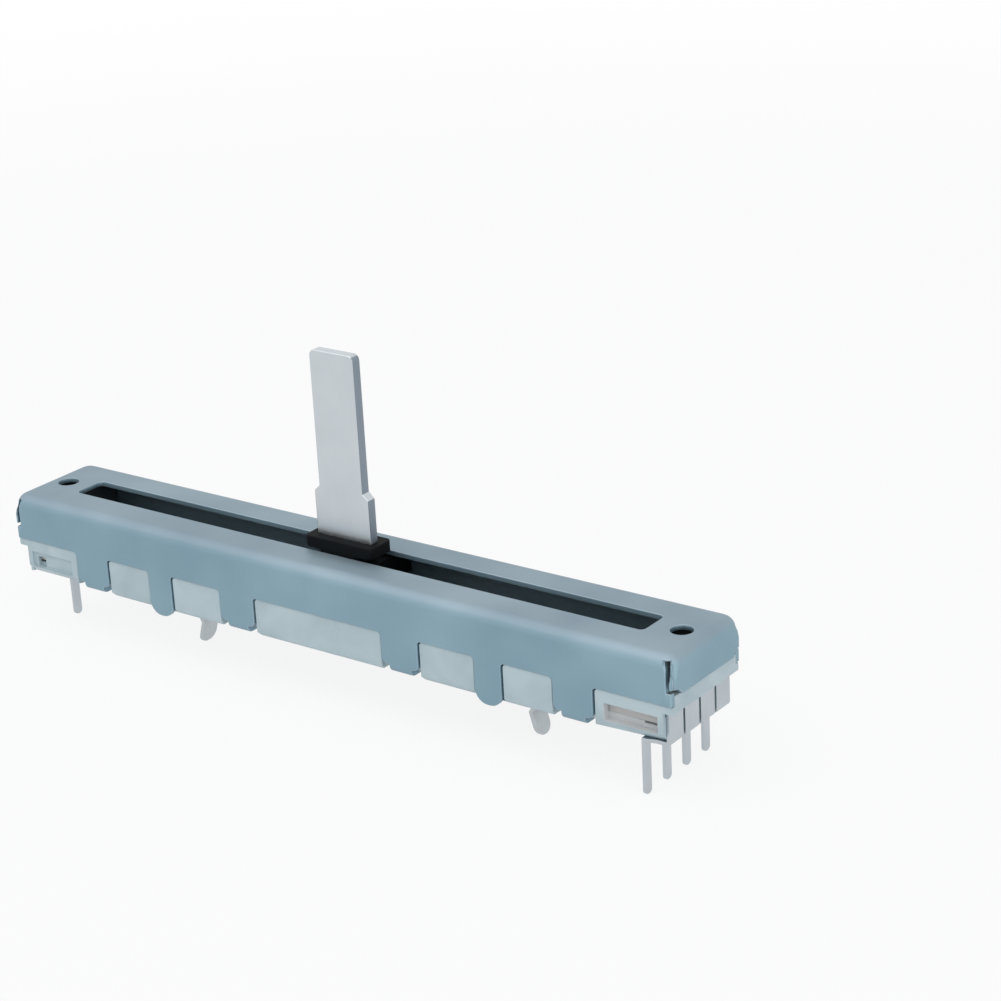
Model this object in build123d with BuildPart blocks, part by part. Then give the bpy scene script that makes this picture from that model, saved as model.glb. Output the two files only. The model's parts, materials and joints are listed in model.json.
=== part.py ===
# Dual-gang slide potentiometer: a folded steel cover over a moulded base, an element board with
# four printed tracks, six terminals, a crimped-on bottom plate, and a lever on a sliding carrier.
# Millimetres. +X runs along the travel to the end with four terminals, -Y is the near long side,
# +Z is up along the lever. The origin is the middle of the cover's top face, the mounting face.
from build123d import *
import os

os.makedirs("parts", exist_ok=True)

# Clearances
fit_gap = 0.05
slide_gap = 0.15
stop_gap = 0.1
tip_rounding = 0.45

# Cover: one blank of sheet steel, folded down on four sides
body_width = 10.5
cover_sheet = 0.5
bend_radius = 1.15
wall_above_underside = 3.1
wall_end_setback = 0.1
flap_shortfall = 0.9
curl_shortfall = 0.6
curl_radius = 1.0
curl_width = 0.75
slit_width = 0.3
slit_flare = 0.2
slit_top = 0.5
screw_hole_radius = 1.0
screw_edge = 1.65

# Levels below the mounting face
body_height = 7.5
plate_sheet = 0.4
floor_thickness = 0.5
board_thickness = 1.0
track_thickness = 0.06
rail_drop = 0.4

# Lever and travel
travel = 60.0
lever_thickness = 1.0
lever_height = 18.5
blade_width = 4.9
lever_base_width = 6.1
lever_base_top = 5.3
lever_shoulder_rise = 0.5
lever_corner_radius = 0.6
lever_seat = 0.35
tang_width = 3.2
tang_depth = 3.2

# Carrier: moulded slider under the cover, with a neck through the slot and a collar above it
carrier_length = 6.6
carrier_floor = 3.0
platform_length = 6.4
platform_depth = 0.9
slot_width = 3.3
slot_corner_radius = 0.5
neck_wall = 0.6
collar_wall = 0.75
collar_top = 1.2

# Base moulding, from the end of the carrier's travel outwards
tab_clearance = 0.65
board_margin = 0.9
end_wall = 0.6
ledge_reach = 0.95
cover_overhang = 1.25
block_setback = 0.15
outer_wall = 0.75
rail_chamfer = 0.8
tongue_rise = 0.8
tower_top_gap = 0.05
tower_chamfer = 0.5
nose_half_width = 2.2
ledge_gap = 0.1
screw_bore_clearance = 0.25
screw_bore_depth = 4.2
side_window_length = 5.2
side_recess_depth = 0.3
side_hole_length = 1.0
tile_rise = 0.35
island_height = 0.7
island_length = 3.4
island_chamfer = 0.3
post_radius = 0.75
post_height = 0.9
peephole_width = 0.5

# Bottom plate and the legs crimped on it: four wide and two narrow ones on each long side
plate_beyond_travel = 0.1
plate_width = 5.7
outer_leg_inset = 2.6
narrow_leg_step = 8.7
inner_leg_step = 9.45
wide_leg_width = 4.0
narrow_leg_width = 2.8
narrow_leg_below_plate = 1.1
leg_side_gap = 0.25
plate_tab_width = 3.6
crimp_width = 2.4
crimp_reach = 3.25
crimp_inner_radius = 0.2
window_width = 2.5
window_shift = -0.6
web_width = 2.95
long_window_length = 11.5
short_window_length = 8.2
window_corner_radius = 0.25
floor_window_margin = 0.4
lug_kink_reach = 1.95
lug_kink_drop = 3.25
lug_tip_reach = 1.3
lug_drop = 5.5

# Tracks and terminals
side_margin = 0.6
tile_gap = 0.3
track_width = 1.2
pad_length = 1.05
pad_gap = 0.05
terminal_sheet = 0.35
terminal_bend = 0.3
foot_length = 0.95
taper_length = 0.95
pin_pitch = 3.0
pin_width = 0.9
pin_drop = 5.6
rivet_radius = 0.45
rivet_head_radius = 0.75
rivet_head = 0.22

# Wipers and drag spring
spring_sheet = 0.12
contact_gap = 0.05
wiper_base_length = 2.4
finger_width = 0.2
finger_count = 4
finger_reach = 3.1
finger_toe = 0.45
stake_radius = 0.35
stake_head_radius = 0.55
stake_head = 0.3
drag_spring_length = 5.4
drag_spring_height = 1.3
drag_pocket_depth = 0.45
drag_pocket_margin = 0.2

# Heights that follow
wall_drop = body_height - wall_above_underside
flap_drop = wall_drop - flap_shortfall
curl_drop = flap_drop - curl_shortfall
plate_outer = -body_height
plate_inner = plate_outer + plate_sheet
board_under = plate_inner + floor_thickness
board_top = board_under + board_thickness
track_top = board_top + track_thickness
rail_bottom = plate_outer - rail_drop
block_top = -wall_drop - fit_gap
tab_top = board_top + terminal_sheet
tab_room_top = tab_top + rivet_head + fit_gap
ledge_under = tab_top + ledge_gap
carrier_top = -cover_sheet - slide_gap
carrier_bottom = -carrier_floor - platform_depth
wiper_under = carrier_bottom - spring_sheet
inner_bend = bend_radius - cover_sheet
leg_shoulder = plate_outer + crimp_inner_radius
side_window_bottom = rail_bottom + rail_chamfer

# Places along the travel, from the middle outwards
neck_length = tang_width + 2 * neck_wall
slot_length = travel + neck_length + 2 * stop_gap
cavity_end = (travel + carrier_length) / 2 + fit_gap
screw_place = cavity_end + screw_edge
tab_start = cavity_end + tab_clearance
rivet_place = tab_start + rivet_head_radius
board_end = rivet_place + board_margin
end_face = board_end + end_wall
half_length = end_face + cover_overhang
flap_inner = half_length - cover_sheet
wall_end = flap_inner - slit_width
track_end = tab_start - pad_gap - pad_length
pin_place = end_face - foot_length - taper_length - terminal_sheet
plate_end = travel / 2 + plate_beyond_travel
outer_leg = plate_end - outer_leg_inset
narrow_leg = outer_leg - narrow_leg_step
inner_leg = narrow_leg - inner_leg_step
wide_legs = (-outer_leg, -inner_leg, inner_leg, outer_leg)
narrow_legs = (-narrow_leg, narrow_leg)
board_pocket_end = board_end + fit_gap
plate_seat_end = plate_end + fit_gap

# Places across the width
half_width = body_width / 2
inner_half_width = half_width - cover_sheet
flap_half_width = half_width - curl_width
flap_foot_half_width = flap_half_width - curl_shortfall
tongue_half_width = inner_half_width - fit_gap
block_face = half_width - block_setback
cavity_half_width = block_face - outer_wall
lug_width = window_width - 2 * window_corner_radius
terminal_width = (body_width - 2 * side_margin - 3 * tile_gap) / 4
track_pitch = terminal_width + tile_gap
gang_places = [track_pitch * (i - 1.5) for i in range(4)]
pin_places = [pin_pitch * (i - 1.5) for i in range(4)]
rivet_spots = [(rivet_place, place) for place in gang_places]
rivet_spots += [(-rivet_place, gang_places[1]), (-rivet_place, gang_places[3])]

# Windows of the bottom plate: a short, a long and a middle one, parted by two webs
left_web = window_shift - inner_leg
right_web = window_shift + inner_leg
window_spans = (
    (left_web - web_width / 2 - short_window_length, left_web - web_width / 2),
    (left_web + web_width / 2, right_web - web_width / 2),
    (right_web + web_width / 2, right_web + web_width / 2 + long_window_length),
)


def box_between(first, second, mode=Mode.ADD):
    """A box in the current part from one corner to the opposite one."""
    size = [abs(b - a) for a, b in zip(first, second)]
    middle = [(a + b) / 2 for a, b in zip(first, second)]
    with Locations(Location(middle)):
        Box(*size, mode=mode)


def finish(builder, name):
    """Label a finished piece and write it."""
    builder.part.label = name
    export_step(builder.part, f"parts/{name}.step")
    print(f"{name}: {builder.part.volume:.2f} mm3")


# Cover: a folded channel with end flaps, a travel slot and two screw holes
with BuildPart() as top_cover:
    with BuildSketch(Plane.XY.offset(-wall_drop)):
        Rectangle(2 * half_length, body_width)
    extrude(amount=wall_drop)
    fillet(top_cover.faces().sort_by(Axis.Z)[-1].edges(), bend_radius)
    offset(amount=-cover_sheet, openings=top_cover.faces().sort_by(Axis.Z)[0])
    with BuildSketch(Plane.XY):
        RectangleRounded(slot_length, slot_width, slot_corner_radius)
        with Locations((-screw_place, 0), (screw_place, 0)):
            Circle(screw_hole_radius)
    extrude(amount=-cover_sheet, mode=Mode.SUBTRACT)
    for end in (-1, 1):
        wall_foot_end = half_length - wall_end_setback
        for side in (-1, 1):
            # The flap's edge is rounded off at the corner, and its lower corner is cut away
            with BuildSketch(Plane.XY.offset(-curl_drop)):
                with Locations((end * (half_length - curl_radius / 2), side * (half_width - curl_width / 2))):
                    Rectangle(curl_radius, curl_width)
                with Locations((end * (half_length - curl_radius), side * flap_half_width)):
                    Circle(curl_radius, mode=Mode.SUBTRACT)
            extrude(amount=curl_drop, mode=Mode.SUBTRACT)
            with BuildSketch(Plane.YZ.offset(end * flap_inner)):
                with BuildLine():
                    Polyline(
                        (side * inner_half_width, -wall_drop),
                        (side * inner_half_width, -curl_drop),
                        (side * flap_half_width, -curl_drop),
                        (side * flap_foot_half_width, -flap_drop),
                        (side * flap_foot_half_width, -wall_drop),
                        close=True,
                    )
                make_face()
            extrude(amount=end * cover_sheet, mode=Mode.SUBTRACT)
            # A slit in the side face parts the flap from the wall: wide at the bend, and turned below
            with BuildSketch(Plane.XZ.offset(-side * flap_half_width)):
                with BuildLine():
                    Polyline(
                        (end * (wall_end - slit_flare), -slit_top),
                        (end * (flap_inner + slit_flare), -slit_top),
                        (end * (flap_inner + slit_flare), -bend_radius),
                        (end * flap_inner, -2 * bend_radius),
                        (end * flap_inner, -curl_drop),
                        (end * half_length, -curl_drop),
                        (end * half_length, -wall_drop),
                        (end * wall_foot_end, -wall_drop),
                        (end * wall_foot_end, -curl_drop - slit_width),
                        (end * wall_end, -curl_drop - slit_width),
                        (end * wall_end, -bend_radius),
                        close=True,
                    )
                make_face()
            extrude(amount=-side * curl_width, mode=Mode.SUBTRACT)
        box_between((end * flap_inner, -flap_foot_half_width, -wall_drop),
                    (end * half_length, flap_foot_half_width, -flap_drop), Mode.SUBTRACT)
    narrow_tip = plate_outer - narrow_leg_below_plate
    for side in (-1, 1):
        for place in wide_legs:
            box_between((place - wide_leg_width / 2, side * inner_half_width, leg_shoulder),
                        (place + wide_leg_width / 2, side * half_width, -wall_drop))
            # Crimp: the middle of the leg bends under the bottom plate
            with BuildSketch(Plane.YZ.offset(place - crimp_width / 2)) as crimp:
                with BuildLine():
                    Polyline(
                        (side * half_width, leg_shoulder + cover_sheet),
                        (side * half_width, plate_outer - cover_sheet),
                        (side * (half_width - crimp_reach), plate_outer - cover_sheet),
                        (side * (half_width - crimp_reach), plate_outer),
                        (side * inner_half_width, plate_outer),
                        (side * inner_half_width, leg_shoulder + cover_sheet),
                        close=True,
                    )
                make_face()
                levels = crimp.vertices().group_by(Axis.Y)
                outermost = -1 if side > 0 else 0
                fillet(levels[1].sort_by(Axis.X)[outermost], crimp_inner_radius)
                fillet(levels[0].sort_by(Axis.X)[outermost], crimp_inner_radius + cover_sheet)
            extrude(amount=crimp_width)
        for place in narrow_legs:
            with BuildSketch(Plane.XZ.offset(-side * half_width)) as leg:
                with Locations((place, (narrow_tip - wall_drop) / 2)):
                    Rectangle(narrow_leg_width, -wall_drop - narrow_tip)
                fillet(leg.vertices().group_by(Axis.Y)[0], narrow_leg_width * tip_rounding)
            extrude(amount=side * cover_sheet)
finish(top_cover, "top_cover")

# Base: a moulded frame that holds the board, with end towers under the screw holes
with BuildPart() as base_housing:
    with BuildSketch(Plane.YZ.offset(-end_face)) as section:
        with Locations((0, (rail_bottom + block_top) / 2)):
            Rectangle(2 * block_face, block_top - rail_bottom)
        chamfer(section.vertices().group_by(Axis.Y)[0], rail_chamfer)
    extrude(amount=2 * end_face)
    box_between((-end_face, -tongue_half_width, block_top), (end_face, tongue_half_width, tongue_rise - wall_drop))
    for end in (-1, 1):
        box_between((end * cavity_end, -tongue_half_width, block_top),
                    (end * end_face, tongue_half_width, -cover_sheet - tower_top_gap))
        # Nose of the tower, round the screw bore and up to the flap
        box_between((end * end_face, -nose_half_width, -flap_drop - fit_gap),
                    (end * (flap_inner - fit_gap), nose_half_width, -cover_sheet - tower_top_gap))
    tower_edges = base_housing.edges().group_by(Axis.Z)[-1]
    chamfer([e for e in tower_edges if abs(e.center().Y) > cavity_half_width
             or abs(e.center().X) > flap_inner - 2 * fit_gap], tower_chamfer)
    for end in (-1, 1):
        # Ledge under the end flap
        ledge_end = end * (end_face + ledge_reach)
        box_between((end * board_end, -tongue_half_width, ledge_under),
                    (ledge_end, tongue_half_width, -flap_drop - fit_gap))
        box_between((end * board_end, -block_face, ledge_under), (ledge_end, block_face, block_top))
        # Pocket for the board, and room over it for the terminal tabs
        box_between((0, -cavity_half_width, board_under),
                    (end * board_pocket_end, cavity_half_width, tab_room_top), Mode.SUBTRACT)
        tab_room_half = gang_places[-1] + terminal_width / 2 + fit_gap
        box_between((end * cavity_end, -tab_room_half, board_top),
                    (end * board_pocket_end, tab_room_half, tab_room_top), Mode.SUBTRACT)
    # Cavity for the carrier
    box_between((-cavity_end, -cavity_half_width, board_top), (cavity_end, cavity_half_width, 0),
                Mode.SUBTRACT)
    # Seat of the bottom plate, with the places of its side tabs, and the windows of the floor
    with BuildSketch(Plane.XY.offset(plate_inner)):
        Rectangle(2 * plate_seat_end, plate_width + 2 * fit_gap)
        with Locations([(place, 0) for place in wide_legs]):
            Rectangle(wide_leg_width + 2 * leg_side_gap, body_width)
    extrude(amount=-plate_sheet - rail_drop, mode=Mode.SUBTRACT)
    with BuildSketch(Plane.XY.offset(board_under)):
        for low, high in window_spans:
            with Locations(((low + high) / 2, 0)):
                Rectangle(high - low + 2 * floor_window_margin, window_width + 2 * floor_window_margin)
        with Locations([(end * (plate_seat_end + peephole_width / 2), side * track_pitch / 2)
                        for end in (-1, 1) for side in (-1, 1)]):
            Rectangle(peephole_width, peephole_width)
    extrude(amount=rail_bottom - board_under, mode=Mode.SUBTRACT)
    for side in (-1, 1):
        # Notches in the outer faces for the legs
        for places, width in ((wide_legs, wide_leg_width), (narrow_legs, narrow_leg_width)):
            for place in places:
                half_notch = width / 2 + leg_side_gap
                box_between((place - half_notch, side * tongue_half_width, rail_bottom),
                            (place + half_notch, side * half_width, -wall_drop), Mode.SUBTRACT)
        # Recesses in the sides of the end blocks: open to the edge of the board at the +X end, and
        # blind at the other, but for a small hole
        for end, floor_place in ((-1, block_face - side_recess_depth), (1, cavity_half_width)):
            box_between((end * board_pocket_end, side * floor_place, side_window_bottom),
                        (end * (board_pocket_end - side_window_length), side * half_width, board_top),
                        Mode.SUBTRACT)
        box_between((-rivet_place - side_hole_length / 2, side * cavity_half_width, side_window_bottom),
                    (-rivet_place + side_hole_length / 2, side * half_width, (board_under + board_top) / 2),
                    Mode.SUBTRACT)
    # Screw bores in the towers
    with BuildSketch(Plane.XY):
        with Locations((-screw_place, 0), (screw_place, 0)):
            Circle(screw_hole_radius + screw_bore_clearance)
    extrude(amount=-screw_bore_depth, mode=Mode.SUBTRACT)
    # Grooves for the rivet heads, and slots in the end walls for the terminals
    for end in (-1, 1):
        box_between((end * tab_start, -cavity_half_width, board_under - rivet_head),
                    (end * board_pocket_end, cavity_half_width, board_under), Mode.SUBTRACT)
    for x, y in rivet_spots:
        end = x / abs(x)
        box_between((end * board_end, y - terminal_width / 2 - fit_gap, board_top),
                    (end * end_face, y + terminal_width / 2 + fit_gap, tab_top), Mode.SUBTRACT)
    # Where no terminal is fitted, the moulding fills its place on the end face
    for place in (gang_places[0], gang_places[2]):
        box_between((-end_face, place - terminal_width / 2, rail_bottom),
                    (-end_face - tile_rise, place + terminal_width / 2, ledge_under))
    island_start = -end_face - tile_rise
    box_between((island_start, gang_places[2] - terminal_width / 2, rail_bottom - island_height),
                (island_start + island_length, gang_places[2] + terminal_width / 2, rail_bottom))
    chamfer(base_housing.faces().sort_by(Axis.Z)[0].edges(), island_chamfer)
    with BuildSketch(Plane.XY.offset(rail_bottom)):
        with Locations((post_radius - cavity_end, block_face - rail_chamfer - post_radius)):
            Circle(post_radius)
    extrude(amount=-post_height)
    chamfer(base_housing.faces().sort_by(Axis.Z)[0].edges(), post_radius * tip_rounding)
finish(base_housing, "base_housing")

# Bottom plate: flat steel with three windows, side tabs for the crimps and two ground lugs
with BuildPart() as bottom_plate:
    with BuildSketch(Plane.XY.offset(plate_outer)):
        Rectangle(2 * plate_end, plate_width)
        with Locations([(place, 0) for place in wide_legs]):
            Rectangle(plate_tab_width, 2 * (inner_half_width - crimp_inner_radius))
        for low, high in window_spans:
            with Locations(((low + high) / 2, 0)):
                RectangleRounded(high - low, window_width, window_corner_radius, mode=Mode.SUBTRACT)
    extrude(amount=plate_sheet)
    # Each lug is folded down from the outer end of a window and kinked to snap into a board
    for root, inward in ((window_spans[0][0], 1), (window_spans[-1][1], -1)):
        with BuildSketch(Plane.XZ.offset(-lug_width / 2)):
            with BuildLine():
                back = -inward * plate_sheet
                kink = root + inward * lug_kink_reach
                tip = root + inward * lug_tip_reach
                Polyline(
                    (root, plate_inner),
                    (root, plate_outer),
                    (kink, plate_outer - lug_kink_drop),
                    (tip, plate_outer - lug_drop),
                    (tip + back, plate_outer - lug_drop),
                    (kink + back, plate_outer - lug_kink_drop),
                    (root + back, plate_outer),
                    (root + back, plate_inner),
                    close=True,
                )
            make_face()
        extrude(amount=lug_width)
        fillet(bottom_plate.edges().filter_by(Axis.X).group_by(Axis.Z)[0], lug_width * tip_rounding)
finish(bottom_plate, "bottom_plate")

# Element board: phenolic laminate with a riveting hole at each terminal
with BuildPart() as element_board:
    with BuildSketch(Plane.XY.offset(board_under)):
        Rectangle(2 * board_end, 2 * (cavity_half_width - fit_gap))
        with Locations(rivet_spots):
            Circle(rivet_radius, mode=Mode.SUBTRACT)
    extrude(amount=board_thickness)
finish(element_board, "element_board")

# Printed tracks: each gang has a resistive track and the collector track beside it
track_names = ("collector_track_a", "resistive_track_a", "collector_track_b", "resistive_track_b")
for place, name in zip(gang_places, track_names):
    with BuildPart() as track:
        box_between((-track_end, place - track_width / 2, board_top),
                    (track_end, place + track_width / 2, track_top))
    finish(track, name)

with BuildPart() as contact_pads:
    for x, y in rivet_spots:
        end = x / abs(x)
        box_between((end * track_end, y - track_width / 2, board_top),
                    (end * (track_end + pad_length), y + track_width / 2, track_top))
finish(contact_pads, "contact_pads")


def make_terminal(end, track, name):
    """A strip riveted on the board's end, folded over the end wall and under it to a pin."""
    strip = gang_places[track]
    pin = pin_places[track]
    outer_face = end_face + terminal_sheet
    foot_under = rail_bottom - terminal_sheet
    foot_start = end_face - foot_length
    pin_tip = plate_outer - pin_drop
    with BuildPart() as terminal:
        with BuildSketch(Plane.XZ.offset(-strip - terminal_width / 2)) as folded:
            with BuildLine():
                Polyline(
                    (tab_start, tab_top),
                    (outer_face, tab_top),
                    (outer_face, foot_under),
                    (foot_start, foot_under),
                    (foot_start, rail_bottom),
                    (end_face, rail_bottom),
                    (end_face, board_top),
                    (tab_start, board_top),
                    close=True,
                )
            make_face()
            fillet(folded.vertices().group_by(Axis.X)[-1], terminal_bend)
        extrude(amount=terminal_width)
        with BuildSketch(Plane.XY.offset(foot_under)):
            with BuildLine():
                Polyline(
                    (foot_start, strip - terminal_width / 2),
                    (foot_start, strip + terminal_width / 2),
                    (pin_place + terminal_sheet, pin + pin_width / 2),
                    (pin_place, pin + pin_width / 2),
                    (pin_place, pin - pin_width / 2),
                    (pin_place + terminal_sheet, pin - pin_width / 2),
                    close=True,
                )
            make_face()
        extrude(amount=terminal_sheet)
        with BuildSketch(Plane.YZ.offset(pin_place)) as blade:
            with Locations((pin, (pin_tip + rail_bottom) / 2)):
                Rectangle(pin_width, rail_bottom - pin_tip)
            fillet(blade.vertices().group_by(Axis.Y)[0], pin_width * tip_rounding)
        extrude(amount=terminal_sheet)
        with Locations((rivet_place, strip, board_top + terminal_sheet / 2)):
            Cylinder(rivet_radius, terminal_sheet, mode=Mode.SUBTRACT)
        if end < 0:
            mirror(about=Plane.YZ, mode=Mode.REPLACE)
    finish(terminal, name)


make_terminal(1, 0, "terminal_wiper_a")
make_terminal(1, 1, "terminal_end_a")
make_terminal(1, 2, "terminal_wiper_b")
make_terminal(1, 3, "terminal_end_b")
make_terminal(-1, 1, "terminal_start_a")
make_terminal(-1, 3, "terminal_start_b")

with BuildPart() as terminal_rivets:
    for x, y in rivet_spots:
        with Locations((x, y, (board_under + tab_top) / 2)):
            Cylinder(rivet_radius, board_thickness + terminal_sheet)
        with Locations((x, y, board_under - rivet_head / 2), (x, y, tab_top + rivet_head / 2)):
            Cylinder(rivet_head_radius, rivet_head)
finish(terminal_rivets, "terminal_rivets")

# Carrier: deck under the cover, platform for the wipers, neck in the slot and collar above it
deck_half_width = inner_half_width - slide_gap
neck_width = slot_width - 2 * slide_gap
collar_length = lever_base_width + 2 * collar_wall
pocket_floor = deck_half_width - drag_pocket_depth
pocket_half = drag_spring_length / 2 + drag_pocket_margin
pocket_middle = (carrier_top - inner_bend - carrier_floor) / 2
stake_places = [(-share * wiper_base_length, side * track_pitch)
                for share in (0.25, 0.75) for side in (-1, 1)]

with BuildPart() as slider_carrier:
    with BuildSketch(Plane.YZ.offset(-carrier_length / 2)) as section:
        with Locations((0, (carrier_top - carrier_floor) / 2)):
            Rectangle(2 * deck_half_width, carrier_top + carrier_floor)
        chamfer(section.vertices().group_by(Axis.Y)[-1], inner_bend)
    extrude(amount=carrier_length)
    platform_half_width = cavity_half_width - slide_gap
    box_between((-platform_length / 2, -platform_half_width, carrier_bottom),
                (platform_length / 2, platform_half_width, -carrier_floor))
    with BuildSketch(Plane.XY.offset(carrier_top)):
        RectangleRounded(neck_length, neck_width, slot_corner_radius)
    extrude(amount=slide_gap - carrier_top)
    with BuildSketch(Plane.XY.offset(slide_gap)):
        RectangleRounded(collar_length, neck_width, slot_corner_radius)
    extrude(amount=collar_top - slide_gap)
    # Pocket for the lever: its base in the collar and its tang down through the deck
    box_between((-lever_base_width / 2, -lever_thickness / 2, lever_seat),
                (lever_base_width / 2, lever_thickness / 2, collar_top), Mode.SUBTRACT)
    box_between((-tang_width / 2, -lever_thickness / 2, -tang_depth),
                (tang_width / 2, lever_thickness / 2, lever_seat), Mode.SUBTRACT)
    # Pocket for the drag spring in the far side of the deck
    box_between((-pocket_half, pocket_floor, pocket_middle - drag_spring_height / 2 - fit_gap),
                (pocket_half, deck_half_width, pocket_middle + drag_spring_height / 2 + fit_gap),
                Mode.SUBTRACT)
    # Stakes with spread heads hold the wipers
    with BuildSketch(Plane.XY.offset(carrier_bottom)):
        with Locations(stake_places):
            Circle(stake_radius)
    extrude(amount=-spring_sheet)
    with BuildSketch(Plane.XY.offset(wiper_under)):
        with Locations(stake_places):
            Circle(stake_head_radius)
    extrude(amount=-stake_head)
finish(slider_carrier, "slider_carrier")

# Lever: stepped blade of nickel-plated steel
with BuildPart() as lever:
    with BuildSketch(Plane.XZ.offset(-lever_thickness / 2)) as blade:
        with BuildLine():
            shoulder_top = lever_base_top + lever_shoulder_rise
            Polyline(
                (-tang_width / 2, -tang_depth),
                (-tang_width / 2, lever_seat),
                (-lever_base_width / 2, lever_seat),
                (-lever_base_width / 2, lever_base_top),
                (-blade_width / 2, shoulder_top),
                (-blade_width / 2, lever_height),
                (blade_width / 2, lever_height),
                (blade_width / 2, shoulder_top),
                (lever_base_width / 2, lever_base_top),
                (lever_base_width / 2, lever_seat),
                (tang_width / 2, lever_seat),
                (tang_width / 2, -tang_depth),
                close=True,
            )
        make_face()
        fillet(blade.vertices().group_by(Axis.Y)[-1], lever_corner_radius)
    extrude(amount=lever_thickness)
finish(lever, "lever")


def make_wiper(side, name):
    """A spring plate under the carrier with one comb of fingers on each of a gang's two tracks."""
    middle = side * track_pitch
    base_half_width = (track_pitch + track_width) / 2
    toe = finger_reach - finger_toe
    contact = track_top + contact_gap
    with BuildPart() as wiper:
        box_between((-wiper_base_length, middle - base_half_width, wiper_under),
                    (0, middle + base_half_width, carrier_bottom))
        for track in (-0.5, 0.5):
            for finger in range(finger_count):
                spread = (track_width - finger_width) * (finger / (finger_count - 1) - 0.5)
                place = middle + track * track_pitch + spread
                with BuildSketch(Plane.XZ.offset(-place - finger_width / 2)):
                    with BuildLine():
                        Polyline(
                            (-spring_sheet, carrier_bottom),
                            (-spring_sheet, wiper_under),
                            (toe, contact),
                            (finger_reach, contact + finger_toe),
                            (finger_reach, contact + finger_toe + spring_sheet),
                            (toe, contact + spring_sheet),
                            (0, carrier_bottom),
                            close=True,
                        )
                    make_face()
                extrude(amount=finger_width)
        with BuildSketch(Plane.XY.offset(wiper_under)):
            with Locations([place for place in stake_places if place[1] == middle]):
                Circle(stake_radius)
        extrude(amount=spring_sheet, mode=Mode.SUBTRACT)
    finish(wiper, name)


make_wiper(-1, "wiper_a")
make_wiper(1, "wiper_b")

# Drag spring: a bowed leaf between the carrier and the cover's far wall
with BuildPart() as drag_spring:
    with BuildSketch(Plane.XY.offset(pocket_middle - drag_spring_height / 2)):
        with BuildLine():
            bow = inner_half_width - contact_gap - spring_sheet
            for lift in (0, spring_sheet):
                ThreePointArc((-drag_spring_length / 2, pocket_floor + lift), (0, bow + lift),
                              (drag_spring_length / 2, pocket_floor + lift))
            for end in (-1, 1):
                Line((end * drag_spring_length / 2, pocket_floor),
                     (end * drag_spring_length / 2, pocket_floor + spring_sheet))
        make_face()
    extrude(amount=drag_spring_height)
finish(drag_spring, "drag_spring")
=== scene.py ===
import json
import math

import bmesh
import bpy
from mathutils import Euler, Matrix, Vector

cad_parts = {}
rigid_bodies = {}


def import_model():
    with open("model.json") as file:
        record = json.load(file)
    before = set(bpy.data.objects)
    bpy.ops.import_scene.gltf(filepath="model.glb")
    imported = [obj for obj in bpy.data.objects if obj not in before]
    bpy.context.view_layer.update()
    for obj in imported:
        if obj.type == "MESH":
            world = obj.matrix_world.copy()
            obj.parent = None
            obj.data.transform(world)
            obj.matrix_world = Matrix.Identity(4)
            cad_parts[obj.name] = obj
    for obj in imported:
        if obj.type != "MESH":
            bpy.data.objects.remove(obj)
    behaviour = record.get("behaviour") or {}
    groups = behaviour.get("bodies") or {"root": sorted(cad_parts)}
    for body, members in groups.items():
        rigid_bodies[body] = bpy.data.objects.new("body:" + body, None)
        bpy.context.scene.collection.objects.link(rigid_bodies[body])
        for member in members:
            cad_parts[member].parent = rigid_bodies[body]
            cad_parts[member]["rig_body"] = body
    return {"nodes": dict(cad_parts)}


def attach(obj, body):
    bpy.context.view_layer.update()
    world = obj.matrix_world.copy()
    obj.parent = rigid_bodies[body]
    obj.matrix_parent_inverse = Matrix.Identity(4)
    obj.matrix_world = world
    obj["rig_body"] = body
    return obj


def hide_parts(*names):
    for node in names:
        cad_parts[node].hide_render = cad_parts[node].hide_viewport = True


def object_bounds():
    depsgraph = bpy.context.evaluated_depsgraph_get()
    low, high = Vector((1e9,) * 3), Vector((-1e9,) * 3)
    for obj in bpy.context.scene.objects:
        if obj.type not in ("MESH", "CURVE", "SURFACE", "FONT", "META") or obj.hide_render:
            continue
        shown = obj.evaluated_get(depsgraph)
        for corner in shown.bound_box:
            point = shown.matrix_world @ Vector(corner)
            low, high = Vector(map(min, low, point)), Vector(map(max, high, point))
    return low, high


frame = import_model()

scene = bpy.context.scene
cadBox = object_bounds()
mm = 0.001
slack = 0.01             # mm, how near a point must be to the place it is looked for at

print("Slide potentiometer: frame loaded")


# ---- camera, the photograph's frame being 1001 x 1001 px
photoCamera = {
    "place": (139.12, -160.55, 86.10),        # mm
    "turn": (68.773, 2.830, 36.112),          # degrees
    "lens": 92.49,                            # mm, on a sensor 36 mm wide
}

cameraData = bpy.data.cameras.new("photoCamera")
cameraData.sensor_fit = "HORIZONTAL"
cameraData.sensor_width = 36
cameraData.lens = photoCamera["lens"]
cameraData.clip_start = 0.01
cameraData.clip_end = 10
camera = bpy.data.objects.new("photoCamera", cameraData)
camera.location = Vector(photoCamera["place"]) * mm
camera.rotation_euler = Euler([math.radians(a) for a in photoCamera["turn"]])
scene.collection.objects.link(camera)
scene.camera = camera


# ---- helpers for node trees
def linearColour(hexText):
    # sRGB hex to the linear colour that a socket takes
    channels = [int(hexText[i:i + 2], 16) / 255 for i in (1, 3, 5)]
    return [c / 12.92 if c <= 0.04045 else ((c + 0.055) / 1.055) ** 2.4 for c in channels] + [1]


def patternScale(sizeMm):
    # texture scale at which one feature is about this many millimetres
    return 1 / (sizeMm * mm)


def addNode(tree, kind, settings=None, inputs=None):
    # one node, with its settings, and for each input either a value or the socket linked to it
    node = tree.nodes.new(kind)
    for name, value in (settings or {}).items():
        setattr(node, name, value)
    for name, value in (inputs or {}).items():
        if isinstance(value, bpy.types.NodeSocket):
            tree.links.new(value, node.inputs[name])
        else:
            node.inputs[name].default_value = value
    return node


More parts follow.
